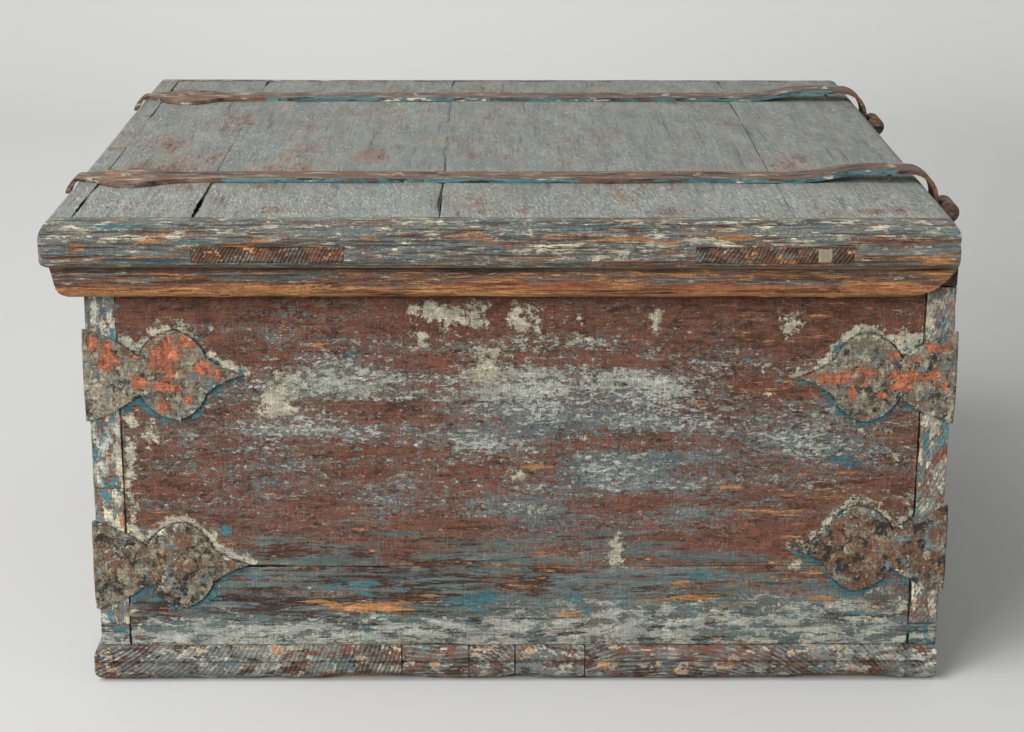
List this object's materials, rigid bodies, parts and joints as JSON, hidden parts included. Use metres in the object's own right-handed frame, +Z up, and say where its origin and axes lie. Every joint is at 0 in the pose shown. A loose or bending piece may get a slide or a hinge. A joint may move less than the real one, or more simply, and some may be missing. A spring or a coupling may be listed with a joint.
{
  "type": "painted chest",
  "caption": "Low painted wooden chest with a moulded, cleated lid on iron strap hinges, leaf-shaped corner irons and a box lock.",
  "frame": {"origin": "middle of the carcase's underside, on the face that the chest rests on", "axes": "+Z up; +Y towards the back, where the hinges are; +X towards the chest's right-hand end as one faces its front"},
  "size_m": [0.4942, 0.5582, 0.3055],
  "materials": {
    "carcase_wood": "old oil paint scraped back in horizontal streaks, grey-blue and cream over dark maroon-brown, matt",
    "lid_wood": "chalky grey-blue paint worn to cream, mauve and reddish brown along the grain, matt",
    "moulding_wood": "horizontal streaks of cream, teal, brick red and bare orange wood, matt",
    "base_wood": "blue-grey paint worn over end grain, matt",
    "corner_iron": "wrought sheet iron under worn coral, cream and grey-brown paint",
    "strap_iron": "forged strap iron, rust brown with worn blue paint at its edges",
    "nail_iron": "forged nail heads, dark and worn",
    "lock_iron": "wrought sheet iron, rust brown"
  },
  "bodies": {
    "carcase": {"back_board_lower": "carcase_wood", "back_board_upper": "carcase_wood", "bottom_board_1": "base_wood", "bottom_board_2": "base_wood", "bottom_board_3": "base_wood", "bottom_board_4": "base_wood", "bottom_board_5": "base_wood", "bottom_board_nails": "nail_iron", "corner_iron_back_left_lower": "corner_iron", "corner_iron_back_left_upper": "corner_iron", "corner_iron_back_right_lower": "corner_iron", "corner_iron_back_right_upper": "corner_iron", "corner_iron_front_left_lower": "corner_iron", "corner_iron_front_left_upper": "corner_iron", "corner_iron_front_right_lower": "corner_iron", "corner_iron_front_right_upper": "corner_iron", "corner_iron_nails": "nail_iron", "end_board_left_lower": "carcase_wood", "end_board_left_upper": "carcase_wood", "end_board_right_lower": "carcase_wood", "end_board_right_upper": "carcase_wood", "front_board_lower": "carcase_wood", "front_board_upper": "carcase_wood", "hinge_leaf_left": "strap_iron", "hinge_leaf_nails": "nail_iron", "hinge_leaf_right": "strap_iron", "hinge_pin_left": "strap_iron", "hinge_pin_right": "strap_iron", "keyhole_plate": "lock_iron", "keyhole_plate_pins": "nail_iron", "lock_case": "lock_iron", "lock_case_nails": "nail_iron"},
    "lid": {"cleat_spikes": "nail_iron", "lid_back_nails": "nail_iron", "lid_board_1": "lid_wood", "lid_board_2": "lid_wood", "lid_board_3": "lid_wood", "lid_board_4": "lid_wood", "lid_cleat_left": "moulding_wood", "lid_cleat_right": "moulding_wood", "lid_front_rail": "lid_wood", "lid_skirt_front": "moulding_wood", "lid_skirt_left": "moulding_wood", "lid_skirt_right": "moulding_wood", "lock_staple": "lock_iron", "lock_staple_nails": "nail_iron", "skirt_nails": "nail_iron", "strap_left": "strap_iron", "strap_nails": "nail_iron", "strap_right": "strap_iron"},
    "lock_bolt": {"lock_bolt": "lock_iron"}
  },
  "joints": [
    {"name": "lid_hinge", "type": "hinge", "parent": "carcase", "child": "lid", "pos_m": [0, 0.2682, 0.2776], "axis": [-1, 0, 0], "range_deg": [0, 105]},
    {"name": "lock_bolt_slide", "type": "slide", "parent": "carcase", "child": "lock_bolt", "axis": [1, 0, 0], "range_m": [0, 0.012]}
  ]
}
